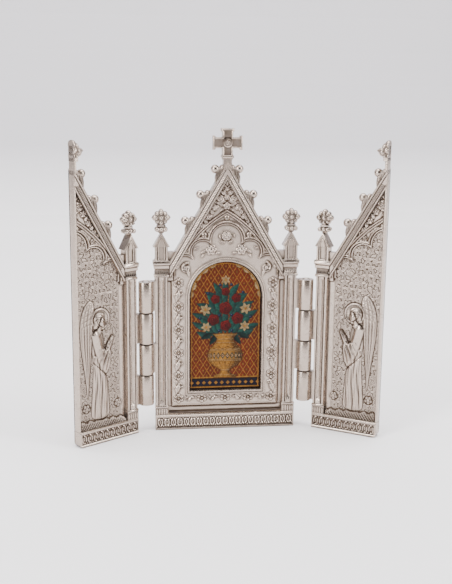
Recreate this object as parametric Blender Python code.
"""A small cast-metal Gothic triptych for a desk or shelf.

A centre panel holds an arched picture under a gable with a cross. Two wings with low-relief
angels hang on it, each on a pin through four barrel knuckles. The origin is the middle of the
centre panel's underside. +X is right, +Y runs to the back and +Z is up.

The shapes are drawn in panel coordinates: across the panel, depth behind its front plane, and
height. The centre panel measures across from its middle, a wing from its hinge axis.
"""

import math

import bmesh
import bpy
from mathutils import Matrix, Vector

# Units: every size below is in millimetres, and add_object writes metres
MM = 0.001

# Panels
BASE_WIDTH = 44.0
PANEL_THICKNESS = 3.6
FIELD_DEPTH = 1.8
PLATE_RISE = 0.25
SINK = 0.35
PLAY = 0.3

# Hinges
BARREL_RADIUS = 2.32
BARREL_GAP = 0.49
BORE_RADIUS = 1.15
PIN_RADIUS = 0.85
AXIS_STANDOFF = 0.3
STACK_FOOT = 9.0
KNUCKLE_HEIGHT = 9.5
KNUCKLE_GAP = 0.35
KNUCKLE_COUNT = 4
LEAF_THICKNESS = 2.1
WING_EDGE_GAP = 0.5
REST_ANGLE = math.radians(34.0)

# Heights, from the underside up
BASE_HEIGHT = 4.9
FOOT_HEIGHT = 3.1
SHAFT_HEIGHT = 41.0
CAPITAL_HEIGHT = 5.2
PINNACLE_WALL = 4.2
PINNACLE_ROOF = 4.4
FINIAL_HEIGHT = 7.0
GABLE_RISE = 30.0
CROSS_HEIGHT = 9.8

# Columns and gable
COLUMN_WIDTH = 4.0
CAPITAL_OVERHANG = 0.6
FLUTE_WIDTH = 1.2
FLUTE_DEPTH = 0.6
CHANNEL_WIDTH = 1.1
RAKE_WIDTH = 2.1
RAKE_BEAD = 0.55
CROCKET_RADIUS = 1.35
CROCKET_REACH = 2.3

# Base band
LOOP_PITCH = 2.05
LOOP_WIDTH = 1.7
BAND_RIM = 0.9
BAND_END = 0.45
BAND_DEPTH = 0.7

# Picture and its frame
PICTURE_HALF_WIDTH = 11.35
PICTURE_FOOT = 12.25
PICTURE_HEIGHT = 41.35
PICTURE_DEPTH = 2.2
PLAQUE_THICKNESS = 0.5
FRAME_WIDTH = 1.15
ROSETTE_RADIUS = 1.5
ROSETTE_PITCH = 7.45

# Five-lobed arch
ARCH_BEAD = 0.8

# Angel
ANGEL_HEIGHT = 34.7
ANGEL_SHIFT = 0.65

# Cross
CROSS_ARM = 4.5
CROSS_BAR = 2.5
CROSS_FLARE = 1.95
CROSS_THICKNESS = 2.4

# Smoothness
BARREL_SIDES = 18
BORE_SIDES = 10
ARC_STEPS = 4

# Places worked out from the sizes
PANEL_SIDE = BASE_WIDTH / 2
HINGE_ACROSS = PANEL_SIDE + BARREL_GAP + BARREL_RADIUS
NEAR_EDGE = HINGE_ACROSS - PANEL_SIDE
FREE_EDGE = HINGE_ACROSS - WING_EDGE_GAP
COLUMN_CENTRE = PANEL_SIDE - COLUMN_WIDTH / 2
COLUMN_INNER = PANEL_SIDE - COLUMN_WIDTH
SHAFT_FOOT = BASE_HEIGHT + FOOT_HEIGHT
CAPITAL_FOOT = SHAFT_FOOT + SHAFT_HEIGHT
SHOULDER = CAPITAL_FOOT + CAPITAL_HEIGHT
ROOF_FOOT = SHOULDER + PINNACLE_WALL
ROOF_TOP = ROOF_FOOT + PINNACLE_ROOF
GABLE_APEX = SHOULDER + GABLE_RISE
GABLE_HALF_WIDTH = COLUMN_INNER - 0.6
SLOPE = GABLE_HALF_WIDTH / GABLE_RISE
PICTURE_SPRING = PICTURE_FOOT + PICTURE_HEIGHT - PICTURE_HALF_WIDTH
ROSETTE_ACROSS = (PICTURE_HALF_WIDTH + FRAME_WIDTH + COLUMN_INNER - CHANNEL_WIDTH) / 2
ROSETTE_FOOT = PICTURE_FOOT - 2.45
ARCH_FOOT = CAPITAL_FOOT + 2.9
ARCH_SPAN = COLUMN_INNER
LOBE_RADII = [share * ARCH_SPAN for share in (0.211, 0.228, 0.294, 0.228, 0.211)]
LOBE_PLACES = (
    (-0.706 * ARCH_SPAN, ARCH_FOOT + 0.022 * ARCH_SPAN),
    (-0.4 * ARCH_SPAN, ARCH_FOOT + 0.261 * ARCH_SPAN),
    (0.0, ARCH_FOOT + 0.472 * ARCH_SPAN),
    (0.4 * ARCH_SPAN, ARCH_FOOT + 0.261 * ARCH_SPAN),
    (0.706 * ARCH_SPAN, ARCH_FOOT + 0.022 * ARCH_SPAN),
)
CENTRE_LOOPS = math.floor((BASE_WIDTH - 2 * BAND_END) / LOOP_PITCH)
WING_LOOPS = math.floor((FREE_EDGE - NEAR_EDGE - BAND_END) / LOOP_PITCH)
FIELD_MIDDLE = (HINGE_ACROSS - COLUMN_INNER + FREE_EDGE) / 2
FRONT_PLANE = -PANEL_THICKNESS / 2
AXIS_PLANE = FRONT_PLANE - AXIS_STANDOFF


# Basic solids, all in panel coordinates: (across, depth, height)

def skin(rings):
    """Close a skin over rings of points. A ring of one point is a tip; other ends are capped."""
    body = bmesh.new()
    loops = [[body.verts.new(point) for point in ring] for ring in rings]
    for lower, upper in zip(loops, loops[1:]):
        count = max(len(lower), len(upper))
        for index in range(count):
            after = (index + 1) % count
            corners = [
                lower[index % len(lower)],
                lower[after % len(lower)],
                upper[after % len(upper)],
                upper[index % len(upper)],
            ]
            body.faces.new(list(dict.fromkeys(corners)))
    for end in (loops[0], loops[-1]):
        if len(end) > 2:
            body.faces.new(end)
    bmesh.ops.recalc_face_normals(body, faces=body.faces)
    return body


def prism(outline, front, back):
    """A flat outline of (across, height) points, filled from the front depth to the back one."""
    return skin([[(a, depth, z) for a, z in outline] for depth in (front, back)])


def box(across_low, across_high, low, high, front, back):
    outline = [(across_low, low), (across_high, low), (across_high, high), (across_low, high)]
    return prism(outline, front, back)


def boss(outline, front, back, share):
    """A raised shape whose front is its outline shrunk to a share of itself."""
    middle_a = sum(a for a, z in outline) / len(outline)
    middle_z = sum(z for a, z in outline) / len(outline)
    face = [
        (middle_a + share * (a - middle_a), front, middle_z + share * (z - middle_z))
        for a, z in outline
    ]
    if share == 0:
        face = face[:1]
    return skin([[(a, back, z) for a, z in outline], face])


def turned(profile, across, depth, sides, flatten=1.0):
    """A vertical turned solid. The profile holds (radius, height); a radius of 0 is a tip."""
    rings = []
    for radius, height in profile:
        if radius == 0:
            rings.append([(across, depth, height)])
            continue
        ring = []
        for side in range(sides):
            angle = math.tau * (side + 0.5) / sides
            swing = radius * math.cos(angle)
            ring.append((across + swing, depth + flatten * radius * math.sin(angle), height))
        rings.append(ring)
    return skin(rings)


def ellipsoid(centre, radii, sides=8, steps=4):
    profile = []
    for step in range(steps + 1):
        angle = math.pi * step / steps
        share = 0 if step in (0, steps) else math.sin(angle)
        profile.append((radii[0] * share, centre[2] - radii[2] * math.cos(angle)))
    return turned(profile, centre[0], centre[1], sides, radii[1] / radii[0])


def limb(points, radii, sides=6):
    """A tapering limb that follows points, with a radius at each."""
    path = [Vector(point) for point in points]
    rings = []
    for index, (point, radius) in enumerate(zip(path, radii)):
        ahead = path[min(index + 1, len(path) - 1)] - path[max(index - 1, 0)]
        first = ahead.cross(Vector((0.0, 1.0, 0.0))).normalized()
        second = ahead.cross(first).normalized()
        ring = []
        for side in range(sides):
            angle = math.tau * side / sides
            ring.append(point + radius * (math.cos(angle) * first + math.sin(angle) * second))
        rings.append(ring)
    return skin(rings)


# Outlines, as lists of (across, height) points

def arc(across, height, radius, start, end, steps):
    angles = [start + (end - start) * step / steps for step in range(steps + 1)]
    return [(across + radius * math.cos(t), height + radius * math.sin(t)) for t in angles]


def oval(across, height, half_width, half_height, sides):
    angles = [math.tau * side / sides for side in range(sides)]
    return [
        (across + half_width * math.cos(t), height + half_height * math.sin(t)) for t in angles
    ]


def star(across, height, outer, inner, petals):
    points = []
    for index in range(2 * petals):
        radius = inner if index % 2 else outer
        angle = math.pi * index / petals
        points.append((across + radius * math.cos(angle), height + radius * math.sin(angle)))
    return points


def round_arch(half_width, foot, spring, steps=12):
    """A door shape: straight sides with a half circle on top."""
    return [(-half_width, foot), (half_width, foot)] + arc(
        0, spring, half_width, 0, math.pi, steps
    )


def chevron(drop, width):
    """A band along both rakes, its outer edge a set drop inside the gable's outer edge."""
    slant = math.hypot(1, SLOPE)
    outer = GABLE_HALF_WIDTH - drop * slant
    inner = outer - width * slant
    return [
        (-outer, SHOULDER),
        (-inner, SHOULDER),
        (0, SHOULDER + inner / SLOPE),
        (inner, SHOULDER),
        (outer, SHOULDER),
        (0, SHOULDER + outer / SLOPE),
    ]


def lobed_arch(offset):
    """The line of the five-lobed arch from left to right, moved outwards by an offset."""
    radii = [radius + offset for radius in LOBE_RADII]
    meets = []
    for index in range(len(radii) - 1):
        first = Vector(LOBE_PLACES[index])
        second = Vector(LOBE_PLACES[index + 1])
        span = second - first
        powers = span.length_squared + radii[index] ** 2 - radii[index + 1] ** 2
        along = powers / (2 * span.length)
        height = math.sqrt(max(radii[index] ** 2 - along**2, 0))
        direction = span.normalized()
        normal = Vector((-direction.y, direction.x))
        meets.append(first + along * direction + height * normal)
    points = []
    for index, (radius, place) in enumerate(zip(radii, LOBE_PLACES)):
        start = math.pi
        end = 0.0
        if index > 0:
            start = math.atan2(meets[index - 1].y - place[1], meets[index - 1].x - place[0])
        if index < len(radii) - 1:
            end = math.atan2(meets[index].y - place[1], meets[index].x - place[0])
        if start < end:
            start += math.tau
        lobe = arc(place[0], place[1], radius, start, end, ARC_STEPS)
        points += lobe if index == 0 else lobe[1:]
    return points


def bulged(start, end, bulge, steps):
    """Points from start to end along a shallow arc that swells to its left."""
    span = Vector(end) - Vector(start)
    side = Vector((-span.y, span.x)).normalized()
    points = []
    for step in range(steps + 1):
        share = step / steps
        point = Vector(start) + share * span + side * bulge * 4 * share * (1 - share)
        points.append((point.x, point.y))
    return points


# Parts shared by the centre panel and the wings

def rosette(across, height, radius=ROSETTE_RADIUS, ground=FIELD_DEPTH - PLATE_RISE):
    outline = star(across, height, radius, radius * 0.62, 6)
    return boss(outline, ground - 0.65, ground + 0.1, 0)


def leaf(across, height, length, width, angle, ground=FIELD_DEPTH):
    """A pointed leaf with a raised middle, lying on the ground at the given depth."""
    along = Vector((math.cos(angle), math.sin(angle)))
    aside = Vector((-along.y, along.x))
    foot = Vector((across, height))
    outline = [
        foot,
        foot + 0.45 * length * along - 0.5 * width * aside,
        foot + length * along,
        foot + 0.45 * length * along + 0.5 * width * aside,
    ]
    return boss([(p.x, p.y) for p in outline], ground - 0.6, ground + 0.15, 0)


def base_band(low, high, loop_from, loop_count):
    """The foot of a panel: a framed recess with a row of oval loops in it."""
    middle = BASE_HEIGHT / 2
    half_height = middle - BAND_RIM
    first = loop_from - LOOP_PITCH / 2
    last = first + loop_count * LOOP_PITCH
    solids = [
        box(low, high, 0, BASE_HEIGHT, BAND_DEPTH, PANEL_THICKNESS - 0.1),
        box(low, high, 0, BAND_RIM, 0, BAND_DEPTH + SINK),
        box(low, high, BASE_HEIGHT - BAND_RIM, BASE_HEIGHT + 0.05, 0, BAND_DEPTH + SINK),
    ]
    if first > low:
        solids.append(box(low, first, 0, BASE_HEIGHT, 0, BAND_DEPTH + SINK))
    if last < high:
        solids.append(box(last, high, 0, BASE_HEIGHT, 0, BAND_DEPTH + SINK))
    for index in range(loop_count):
        outline = oval(loop_from + index * LOOP_PITCH, middle, LOOP_WIDTH / 2, half_height, 6)
        solids.append(boss(outline, 0.15, BAND_DEPTH + SINK, 0.6))
    return solids


def column(across):
    """A column on its foot block, with its capital and pinnacle."""
    half = COLUMN_WIDTH / 2
    top = half + CAPITAL_OVERHANG
    back = PANEL_THICKNESS - 0.2
    shaft = (across - half + 0.15, across + half - 0.15)
    solids = [
        box(across - half, across + half, BASE_HEIGHT - SINK, SHAFT_FOOT, 0.05, back),
        box(shaft[0], shaft[1], SHAFT_FOOT - SINK, CAPITAL_FOOT + SINK, 0.3, back),
    ]
    # Capital slabs, each (share of the capital's height, half width, depth)
    slabs = (
        (0.0, half + 0.25, 0.15),
        (0.2, half + 0.05, 0.45),
        (0.5, half + 0.35, 0.2),
        (0.75, top, 0.0),
    )
    ends = [share for share, width, depth in slabs[1:]] + [1.0]
    for (share, width, depth), end in zip(slabs, ends):
        low = CAPITAL_FOOT + share * CAPITAL_HEIGHT
        high = CAPITAL_FOOT + end * CAPITAL_HEIGHT + (0.1 if end < 1 else 0)
        solids.append(box(across - width, across + width, low, high, depth, back - depth / 2))
    solids += pinnacle(across)
    return solids


def flute(across):
    """The sunk groove down a column's front, as a cutter."""
    half = FLUTE_WIDTH / 2
    rings = []
    for height in (SHAFT_FOOT + 2, CAPITAL_FOOT - 1):
        rings.append(
            [(across - half, -1, height), (across + half, -1, height), (across + half, 0.35, height)]
            + [(across, 0.3 + FLUTE_DEPTH, height), (across - half, 0.35, height)]
        )
    return skin(rings)


def pinnacle(across):
    """The little gabled tower on a capital, with its collar and leafy finial."""
    half = COLUMN_WIDTH / 2
    eaves = half + 0.45
    middle = PANEL_THICKNESS / 2
    depth_half = middle - 0.05
    rise = (SHOULDER - SINK, ROOF_FOOT + SINK)
    tower = box(across - half, across + half, *rise, 0.25, PANEL_THICKNESS - 0.35)
    gable = [(across - eaves, ROOF_FOOT), (across + eaves, ROOF_FOOT), (across, ROOF_TOP)]
    niche = [
        (across - 0.75, SHOULDER + 1.1),
        (across + 0.75, SHOULDER + 1.1),
        (across + 0.75, ROOF_FOOT - 0.7),
        (across, ROOF_FOOT + 0.9),
        (across - 0.75, ROOF_FOOT - 0.7),
    ]
    flatten = depth_half / 2.55
    neck = ROOF_TOP - 0.5
    share = FINIAL_HEIGHT / 7.0
    profile = (
        (0.9, neck - 1.0),
        (1.9, neck + 0.35 * share),
        (1.9, neck + 1.6 * share),
        (0.95, neck + 2.3 * share),
        (2.55, neck + 4.5 * share),
        (1.1, neck + 6.0 * share),
        (0, neck + 7.4 * share),
    )
    return [
        tower,
        prism(gable, 0.05, PANEL_THICKNESS - 0.15),
        boss(niche, 0.0, 0.25 + SINK, 0.75),
        turned(profile, across, middle, 8, flatten),
    ]


def pillow(outline, front, back, share):
    """A swollen shape, full in the middle of its thickness and shrunk to a share at both faces."""
    middle_a = sum(a for a, z in outline) / len(outline)
    middle_z = sum(z for a, z in outline) / len(outline)
    small = [
        (middle_a + share * (a - middle_a), middle_z + share * (z - middle_z)) for a, z in outline
    ]
    rings = []
    for depth, ring in ((front, small), ((front + back) / 2, outline), (back, small)):
        rings.append([(a, depth, z) for a, z in ring])
    return skin(rings)


def crocket(height, side):
    """A leaf bracket with a ball at its tip, growing from the rake. Side is -1 on the left."""
    middle = PANEL_THICKNESS / 2

    def off_rake(reach, rise):
        rake = GABLE_HALF_WIDTH - (height + rise - SHOULDER) * SLOPE
        return (side * (rake + reach), height + rise)

    ball = off_rake(CROCKET_REACH, 0.2)
    bud = off_rake(0.5, 0.7)
    bracket = [
        off_rake(-1.0, -4.6),
        off_rake(0.7, -3.4),
        off_rake(1.0, -1.9),
        off_rake(1.9, -0.6),
        off_rake(1.6, 0.8),
        off_rake(-1.0, 1.2),
    ]
    return [
        pillow(bracket, middle - 1.3, middle + 1.3, 0.75),
        ellipsoid((ball[0], middle, ball[1]), [CROCKET_RADIUS] * 3, 8, 4),
        ellipsoid((bud[0], middle, bud[1]), (0.9, 1.5, 0.9), 6, 3),
    ]


def crockets(side, middle=0.0):
    """Three crockets up one rake."""
    solids = []
    for share in (0.395, 0.66, 0.915):
        solids += crocket(SHOULDER + share * GABLE_RISE, side)
    return [moved(solid, middle) for solid in solids]


def moved(solid, across):
    """Shift a solid sideways."""
    bmesh.ops.translate(solid, verts=solid.verts, vec=(across, 0, 0))
    return solid


def gable():
    """The rake mouldings, the five-lobed arch and the foliage above it, for a whole gable."""
    slant = math.hypot(1, SLOPE)
    inner = GABLE_HALF_WIDTH - (RAKE_WIDTH - 0.2) * slant
    solids = [
        prism(chevron(0.25, RAKE_WIDTH - 0.25), 0.55, FIELD_DEPTH + SINK),
        prism(chevron(0.3, RAKE_BEAD), 0.0, FIELD_DEPTH + SINK),
        prism(chevron(RAKE_WIDTH - RAKE_BEAD, RAKE_BEAD), 0.1, FIELD_DEPTH + SINK),
    ]
    edge = inner + 0.6
    plate = [(-COLUMN_INNER - 0.3, ARCH_FOOT), (-COLUMN_INNER - 0.3, SHOULDER)]
    plate += [(-edge, SHOULDER + 0.1), (0, SHOULDER + edge / SLOPE), (edge, SHOULDER + 0.1)]
    plate += [(COLUMN_INNER + 0.3, SHOULDER), (COLUMN_INNER + 0.3, ARCH_FOOT)]
    plate += lobed_arch(0.0)[::-1]
    solids.append(prism(plate, FIELD_DEPTH - 0.6, FIELD_DEPTH + SINK))
    bead = lobed_arch(ARCH_BEAD / 2) + lobed_arch(-ARCH_BEAD / 2)[::-1]
    solids.append(prism(bead, FIELD_DEPTH - 1.3, FIELD_DEPTH + SINK))
    # The pointed arch over the lobes
    apex = (0.0, SHOULDER + 14.9)
    spring = 0.672 * ARCH_SPAN
    springs = ((-spring, SHOULDER + 3.9), (spring, SHOULDER + 3.9))
    line = bulged(springs[0], apex, 0.9, 4) + bulged(apex, springs[1], 0.9, 4)[1:]
    lower = [(a * 0.93, z - 0.75) for a, z in line]
    solids.append(prism(line + lower[::-1], FIELD_DEPTH - 1.1, FIELD_DEPTH + SINK))
    # Studs between the two arches
    aside = 0.383 * ARCH_SPAN
    for across, height in ((-aside, SHOULDER + 7.7), (aside, SHOULDER + 7.7), (0.0, SHOULDER + 13.0)):
        outline = oval(across, height, 0.75, 0.75, 8)
        solids.append(boss(outline, FIELD_DEPTH - 1.2, FIELD_DEPTH - 0.2, 0.5))
    # Leaves fanned over the point, and one flower under it
    ground_depth = FIELD_DEPTH - 0.6
    for angle in (-60, -30, 0, 30, 60):
        turn = math.radians(90 + angle)
        solids.append(leaf(0, SHOULDER + 16.2, 6.4 - abs(angle) / 20, 2.4, turn, ground_depth))
    for side in (-1, 1):
        turn = math.radians(90 + side * 62)
        solids.append(leaf(side * -1.5, SHOULDER + 16.0, 4.8, 2.2, turn + side * 0.9, ground_depth))
    return solids


def hinge_knuckles(across, towards, owners):
    """Barrel knuckles on the axis at this place, with a leaf reaching back towards the panel."""
    axis_depth = -AXIS_STANDOFF
    solids = []
    for index in owners:
        low = STACK_FOOT + index * (KNUCKLE_HEIGHT + KNUCKLE_GAP)
        high = low + KNUCKLE_HEIGHT
        profile = ((BARREL_RADIUS, low), (BARREL_RADIUS, high))
        solids.append(turned(profile, across, axis_depth, BARREL_SIDES))
        reach = across + towards * (NEAR_EDGE + 0.8)
        ends = sorted((across + towards * (BORE_RADIUS * 0.6), reach))
        solids.append(
            box(ends[0], ends[1], low + 0.15, high - 0.15, 0.2, 0.2 + LEAF_THICKNESS)
        )
    return solids


def hinge_bore(across):
    """The pin hole through the whole barrel stack, as a cutter."""
    low = STACK_FOOT - 1
    high = STACK_FOOT + KNUCKLE_COUNT * (KNUCKLE_HEIGHT + KNUCKLE_GAP) + 1
    return turned(((BORE_RADIUS, low), (BORE_RADIUS, high)), across, -AXIS_STANDOFF, BORE_SIDES)


# The centre panel

def cross():
    """The cross on the apex, with its block, its collar and a round boss at the crossing."""
    middle = GABLE_APEX + CROSS_HEIGHT * 0.565
    top = GABLE_APEX + CROSS_HEIGHT
    front = PANEL_THICKNESS / 2 - CROSS_THICKNESS / 2
    back = front + CROSS_THICKNESS
    bar = CROSS_BAR / 2
    flare = CROSS_FLARE
    upper = [(bar, middle + bar), (bar, top - 1.2), (flare * 0.95, top - 0.85), (flare * 0.95, top)]
    arm = [(CROSS_ARM, middle - flare), (CROSS_ARM, middle + flare), (CROSS_ARM - 1.1, middle + bar)]
    lower = [(bar, GABLE_APEX + 0.6), (bar, middle - bar), (CROSS_ARM - 1.1, middle - bar)]
    right = lower + arm + upper
    outline = right + [(-a, z) for a, z in right[::-1]]
    return [
        prism(outline, front, back),
        box(-1.3, 1.3, GABLE_APEX - 2.4, GABLE_APEX + 1.1, front - 0.4, back + 0.4),
        box(-1.85, 1.85, GABLE_APEX + 1.0, GABLE_APEX + 1.9, front - 0.55, back + 0.55),
        boss(oval(0, middle, 1.45, 1.45, 8), front - 0.5, front + SINK, 0.6),
    ]


def centre_outline():
    return [
        (-PANEL_SIDE, 0),
        (PANEL_SIDE, 0),
        (PANEL_SIDE, SHOULDER - 0.2),
        (GABLE_HALF_WIDTH, SHOULDER),
        (0, GABLE_APEX),
        (-GABLE_HALF_WIDTH, SHOULDER),
        (-PANEL_SIDE, SHOULDER - 0.2),
    ]


def picture_pocket():
    """The recess that holds the picture, as a cutter."""
    outline = round_arch(PICTURE_HALF_WIDTH + PLAY, PICTURE_FOOT - PLAY, PICTURE_SPRING)
    return prism(outline, -1, PICTURE_DEPTH + PLAQUE_THICKNESS + PLAY)


def build_centre_panel():
    solids = [prism(centre_outline(), FIELD_DEPTH, PANEL_THICKNESS)]
    plate = COLUMN_INNER - CHANNEL_WIDTH
    ground = [(-plate, BASE_HEIGHT + 2.5), (plate, BASE_HEIGHT + 2.5)] + lobed_arch(0.0)[::-1]
    solids.append(prism(ground, FIELD_DEPTH - PLATE_RISE, FIELD_DEPTH + SINK))
    first_loop = -LOOP_PITCH * (CENTRE_LOOPS - 1) / 2
    solids += base_band(-PANEL_SIDE, PANEL_SIDE, first_loop, CENTRE_LOOPS)
    for side in (-1, 1):
        solids += column(side * COLUMN_CENTRE)
        solids += crockets(side)
        web = sorted((side * (GABLE_HALF_WIDTH - 1.5), side * COLUMN_CENTRE))
        solids.append(box(web[0], web[1], SHOULDER - 0.4, SHOULDER + 2.6, 1.1, PANEL_THICKNESS - 0.3))
        for index in range(6):
            solids.append(rosette(side * ROSETTE_ACROSS, ROSETTE_FOOT + index * ROSETTE_PITCH))
        for index in range(5):
            height = ROSETTE_FOOT + (index + 0.5) * ROSETTE_PITCH - 1.3
            turn = math.radians(90 + side * 15)
            across = side * (ROSETTE_ACROSS + 0.6)
            solids.append(leaf(across, height, 2.8, 1.5, turn, FIELD_DEPTH - PLATE_RISE))
        turn = math.radians(90 - side * 25)
        across = side * 0.589 * ARCH_SPAN
        solids.append(leaf(across, ARCH_FOOT - 1.6, 4.0, 1.9, turn, FIELD_DEPTH - PLATE_RISE))
        solids.append(rosette(side * 0.256 * ARCH_SPAN, ARCH_FOOT + 5.3, 1.35))
    for index in range(-1, 2):
        solids.append(rosette(index * ROSETTE_ACROSS / 2, ROSETTE_FOOT))
    solids.append(rosette(0, ARCH_FOOT + 8.2, 1.5))
    rim = round_arch(PICTURE_HALF_WIDTH + FRAME_WIDTH, PICTURE_FOOT - FRAME_WIDTH, PICTURE_SPRING)
    solids.append(prism(rim, 0.75, FIELD_DEPTH + SINK))
    solids += gable()
    solids += cross()
    owners = range(KNUCKLE_COUNT - 1, -1, -2)
    cuts = [picture_pocket()]
    for side in (-1, 1):
        solids += hinge_knuckles(side * HINGE_ACROSS, -side, owners)
        cuts += [hinge_bore(side * HINGE_ACROSS), flute(side * COLUMN_CENTRE)]
    return fused("centre_panel", solids, cuts, False)


# The angel, in shares of its own height, from its hem up and from its middle outwards

def figure_point(across, height, depth=0.0):
    return (
        FIELD_MIDDLE + ANGEL_SHIFT + across * ANGEL_HEIGHT,
        depth,
        SHAFT_FOOT - 1.0 + height * ANGEL_HEIGHT,
    )


def robe():
    """The robe in sections from hem to neck, its front folded in flutes that fade upwards."""
    # Sections as (height, middle, half width, relief, depth of the folds)
    sections = (
        (0.0, 0.009, 0.101, 0.9, 0.4),
        (0.16, 0.008, 0.092, 1.1, 0.4),
        (0.375, 0.012, 0.084, 1.25, 0.3),
        (0.55, 0.012, 0.066, 1.25, 0.15),
        (0.69, 0.006, 0.068, 1.3, 0.1),
        (0.78, 0.002, 0.05, 1.15, 0.0),
        (0.83, -0.004, 0.024, 0.9, 0.0),
    )
    folds = 9
    rings = []
    for height, middle, half, relief, fold in sections:
        ring = []
        for index in range(folds + 1):
            share = index / folds
            bulge = math.sin(math.pi * share) ** 0.5
            ridge = fold if index % 2 else 0.0
            lift = max(relief * bulge - ridge * bulge, 0.0) if 0 < index < folds else 0.0
            ring.append(figure_point(middle + half * (2 * share - 1), height, FIELD_DEPTH - lift))
        ring.append(figure_point(middle + half, height, FIELD_DEPTH + SINK))
        ring.append(figure_point(middle - half, height, FIELD_DEPTH + SINK))
        rings.append(ring)
    return skin(rings)


def angel():
    """A calm standing angel in profile with joined hands, a halo and one tall folded wing."""
    unit = ANGEL_HEIGHT
    ground = FIELD_DEPTH
    solids = [robe()]
    halo = figure_point(-0.02, 0.905)
    disc = oval(halo[0], halo[2], 0.095 * unit, 0.095 * unit, 14)
    solids.append(boss(disc, ground - 0.45, ground + SINK, 0.93))
    face = figure_point(-0.022, 0.875, ground - 0.35)
    hair = figure_point(0.006, 0.888, ground - 0.4)
    solids.append(ellipsoid(face, (0.045 * unit, 1.0, 0.066 * unit), 8, 5))
    solids.append(ellipsoid(hair, (0.052 * unit, 1.05, 0.066 * unit), 8, 5))
    # The far arm is hidden; the near one hangs to the elbow and rises to the joined hands
    shoulder = figure_point(0.03, 0.77, ground - 0.5)
    elbow = figure_point(-0.025, 0.55, ground - 0.7)
    wrist = figure_point(-0.095, 0.63, ground - 0.75)
    fingers = figure_point(-0.138, 0.725, ground - 0.6)
    solids.append(limb([shoulder, elbow], [0.04 * unit, 0.037 * unit]))
    solids.append(limb([elbow, wrist, fingers], [0.034 * unit, 0.022 * unit, 0.01 * unit]))
    sleeve = [(0.02, 0.6), (-0.05, 0.62), (-0.098, 0.6), (-0.1, 0.42), (-0.07, 0.36), (-0.01, 0.45)]
    outline = [figure_point(a, z) for a, z in sleeve]
    solids.append(boss([(p[0], p[2]) for p in outline], ground - 1.1, ground + SINK, 0.6))
    solids += folded_wing()
    return solids


def folded_wing():
    """The angel's tall wing: one long curved blade with ribs of feathers along it."""
    outer = [(0.04, 1.055), (0.089, 1.095), (0.15, 1.049), (0.196, 0.951), (0.21, 0.821)]
    outer += [(0.193, 0.663), (0.161, 0.49), (0.138, 0.317), (0.124, 0.173)]
    inner = [(0.107, 0.317), (0.089, 0.49), (0.069, 0.663), (0.058, 0.836), (0.043, 0.951)]
    outline = [figure_point(across, height) for across, height in outer + inner]
    blade = boss([(p[0], p[2]) for p in outline], FIELD_DEPTH - 0.6, FIELD_DEPTH + SINK, 0.9)
    solids = [blade]
    for share in (0.22, 0.48, 0.74):
        path = []
        for near, far in zip(inner[::-1], (outer[3], outer[4], outer[5], outer[6], outer[7])):
            across = near[0] + share * (far[0] - near[0])
            height = near[1] + share * (far[1] - near[1])
            path.append(figure_point(across, height, FIELD_DEPTH - 0.5))
        thickness = [0.5, 0.62, 0.6, 0.5, 0.3]
        solids.append(limb(path, thickness, 5))
    return solids


def build_wing(name, mirrored):
    core = [(HINGE_ACROSS - a, z) for a, z in centre_outline()]
    solids = [prism(core, FIELD_DEPTH, PANEL_THICKNESS)]
    first_loop = NEAR_EDGE + BAND_END + LOOP_PITCH / 2
    solids += base_band(NEAR_EDGE, FREE_EDGE + 2, first_loop, WING_LOOPS)
    across = HINGE_ACROSS - COLUMN_CENTRE
    solids += column(across)
    web = (across, HINGE_ACROSS - GABLE_HALF_WIDTH + 1.5)
    solids.append(box(web[0], web[1], SHOULDER - 0.4, SHOULDER + 2.6, 1.1, PANEL_THICKNESS - 0.3))
    solids.append(box(FREE_EDGE - 0.55, FREE_EDGE + 2, SINK, SHOULDER + 4, 0.5, FIELD_DEPTH + SINK))
    solids += [moved(solid, HINGE_ACROSS) for solid in gable()]
    solids += crockets(-1, HINGE_ACROSS)
    solids += half_finial()
    # Mound under the figure's feet
    inner = HINGE_ACROSS - COLUMN_INNER
    mound = [(inner - 0.2, BASE_HEIGHT - 0.3), (FREE_EDGE + 1, BASE_HEIGHT - 0.3), (FREE_EDGE + 1, 6.6)]
    mound += [(17.0, 7.9), (12.0, 7.4), (inner - 0.2, 6.4)]
    solids.append(boss(mound, FIELD_DEPTH - 1.0, FIELD_DEPTH + SINK, 0.96))
    solids += angel()
    for index in range(8):
        height = SHAFT_FOOT + 6.0 + index * 4.4
        lean = -1 if index % 2 else 1
        turn = math.radians(90 + 35 * lean)
        solids.append(leaf(inner + 2.0 + 0.3 * lean, height, 3.0, 1.5, turn))
    solids.append(rosette(inner + 2.5, SHAFT_FOOT + 3.0, 1.35, FIELD_DEPTH))
    solids.append(rosette(FREE_EDGE - 2.6, SHAFT_FOOT + 3.2, 1.35, FIELD_DEPTH))
    owners = range(KNUCKLE_COUNT - 2, -1, -2)
    solids += hinge_knuckles(0.0, 1, owners)
    beyond = box(FREE_EDGE, FREE_EDGE + 40, -5, GABLE_APEX + 20, -5, PANEL_THICKNESS + 5)
    corner = [(FREE_EDGE + 0.5, -0.5), (FREE_EDGE + 0.5, 1.2)]
    corner += arc(FREE_EDGE - 1.2, 1.2, 1.2, 0, -math.pi / 2, 3) + [(FREE_EDGE - 1.2, -0.5)]
    cuts = [beyond, prism(corner, -1, PANEL_THICKNESS + 1), hinge_bore(0.0), flute(across)]
    return fused(name, solids, cuts, mirrored)


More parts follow.
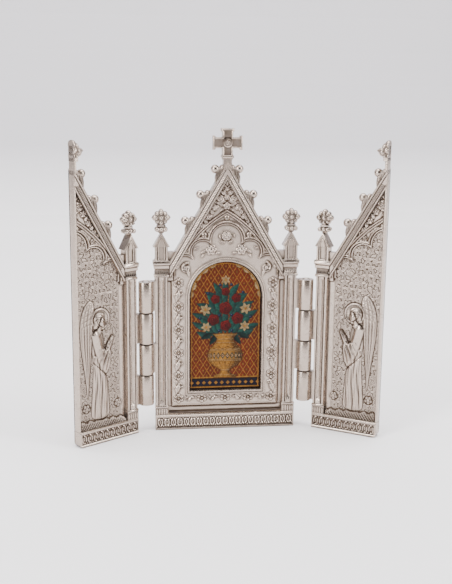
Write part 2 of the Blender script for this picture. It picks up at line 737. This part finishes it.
def half_finial():
    """The leaf finial on a wing's point; the wing's free edge cuts it in half."""
    middle = PANEL_THICKNESS / 2
    across = HINGE_ACROSS
    foot = GABLE_APEX
    reach = middle - 0.15
    return [
        box(across - 1.4, across + 1.4, foot - 2.6, foot + 2.0, 0.3, PANEL_THICKNESS - 0.4),
        box(across - 1.95, across + 1.95, foot + 1.3, foot + 2.5, 0.15, PANEL_THICKNESS - 0.25),
        ellipsoid((across - 1.9, middle, foot + 3.9), (1.5, reach, 1.5), 8, 4),
        ellipsoid((across - 0.4, middle, foot + 5.9), (1.5, reach, 1.5), 8, 4),
        box(across - 0.85, across + 0.85, foot + 1.5, foot + 7.2, 0.6, PANEL_THICKNESS - 0.7),
    ]


# Joining, materials and placing

def raw_object(name, solid, collection):
    mesh = bpy.data.meshes.new(name)
    bmesh.ops.triangulate(solid, faces=solid.faces)
    solid.to_mesh(mesh)
    solid.free()
    piece = bpy.data.objects.new(name, mesh)
    collection.objects.link(piece)
    return piece


def helper_group(name, solids):
    """A collection of guide shapes for one Boolean."""
    group = bpy.data.collections.new(name)
    bpy.context.scene.collection.children.link(group)
    for index, solid in enumerate(solids):
        guide = raw_object(f"{name}_{index:03d}", solid, group)
        guide.hide_render = True
        guide.display_type = "WIRE"
    return group


def fused(name, solids, cuts, mirrored):
    """Join solids into one closed body, cut it, and return its mesh in metres."""
    piece = raw_object(name, solids[0], bpy.context.scene.collection)
    groups = [helper_group(name + "_solids", solids[1:]), helper_group(name + "_cuts", cuts)]
    for group, operation in zip(groups, ("UNION", "DIFFERENCE")):
        modifier = piece.modifiers.new(operation.title(), "BOOLEAN")
        modifier.operation = operation
        modifier.operand_type = "COLLECTION"
        modifier.collection = group
        modifier.solver = "EXACT"
    evaluated = piece.evaluated_get(bpy.context.evaluated_depsgraph_get())
    body = bmesh.new()
    body.from_mesh(evaluated.to_mesh())
    bmesh.ops.remove_doubles(body, verts=body.verts, dist=0.004)
    bmesh.ops.dissolve_degenerate(body, edges=body.edges, dist=0.002)
    bmesh.ops.dissolve_limit(
        body, angle_limit=math.radians(0.2), verts=body.verts, edges=body.edges
    )
    bmesh.ops.triangulate(body, faces=body.faces)
    bmesh.ops.scale(body, vec=(MM, MM, MM), verts=body.verts)
    if mirrored:
        bmesh.ops.scale(body, vec=(-1, 1, 1), verts=body.verts)
        bmesh.ops.reverse_faces(body, faces=body.faces)
    mesh = bpy.data.meshes.new(name)
    body.to_mesh(mesh)
    body.free()
    for group in groups:
        for guide in list(group.objects):
            bpy.data.objects.remove(guide)
        bpy.data.collections.remove(group)
    bpy.data.objects.remove(piece)
    return mesh


def metal(name, colour, roughness):
    material = bpy.data.materials.new(name)
    material.use_nodes = True
    shader = material.node_tree.nodes["Principled BSDF"]
    shader.inputs["Base Color"].default_value = (*colour, 1)
    shader.inputs["Roughness"].default_value = roughness
    shader.inputs["Metallic"].default_value = 1.0
    return material


def picture_material():
    material = bpy.data.materials.new("picture_print")
    material.use_nodes = True
    shader = material.node_tree.nodes["Principled BSDF"]
    shader.inputs["Base Color"].default_value = (0.45, 0.16, 0.05, 1)
    shader.inputs["Roughness"].default_value = 0.25
    return material


def add_object(name, mesh, material, place, turn=0.0):
    """Put a mesh into the scene; the place is in millimetres."""
    mesh.materials.append(material)
    mesh.set_sharp_from_angle(angle=math.radians(35))
    piece = bpy.data.objects.new(name, mesh)
    piece.location = Vector(place) * MM
    piece.rotation_euler = (0, 0, turn)
    bpy.context.scene.collection.objects.link(piece)
    return piece


def plain_mesh(name, solid):
    """A mesh in metres from one solid in millimetres."""
    mesh = bpy.data.meshes.new(name)
    bmesh.ops.scale(solid, vec=(MM, MM, MM), verts=solid.verts)
    solid.to_mesh(mesh)
    solid.free()
    return mesh


def build():
    for old in list(bpy.data.objects):
        bpy.data.objects.remove(old)
    silver = metal("silver_plate", (0.55, 0.53, 0.5), 0.35)
    steel = metal("pin_steel", (0.5, 0.49, 0.48), 0.3)

    add_object("centre_panel", build_centre_panel(), silver, (0, FRONT_PLANE, 0))
    for name, side in (("left", -1), ("right", 1)):
        # A wing's origin is on its hinge axis, and the wing is turned forward to its rest angle
        wing = build_wing(name + "_wing", side < 0)
        wing.transform(Matrix.Translation((0, AXIS_STANDOFF * MM, 0)))
        place = (side * HINGE_ACROSS, AXIS_PLANE, 0)
        add_object(name + "_wing", wing, silver, place, -side * REST_ANGLE)

        stack = KNUCKLE_COUNT * KNUCKLE_HEIGHT + (KNUCKLE_COUNT - 1) * KNUCKLE_GAP
        profile = ((PIN_RADIUS, STACK_FOOT + 0.1), (PIN_RADIUS, STACK_FOOT + stack - 0.1))
        pin = plain_mesh(name + "_hinge_pin", turned(profile, 0, 0, BORE_SIDES))
        add_object(name + "_hinge_pin", pin, steel, place)

    outline = round_arch(PICTURE_HALF_WIDTH, PICTURE_FOOT, PICTURE_SPRING)
    plaque = prism(outline, PICTURE_DEPTH, PICTURE_DEPTH + PLAQUE_THICKNESS)
    mesh = plain_mesh("picture_plaque", plaque)
    add_object("picture_plaque", mesh, picture_material(), (0, FRONT_PLANE, 0))


build()
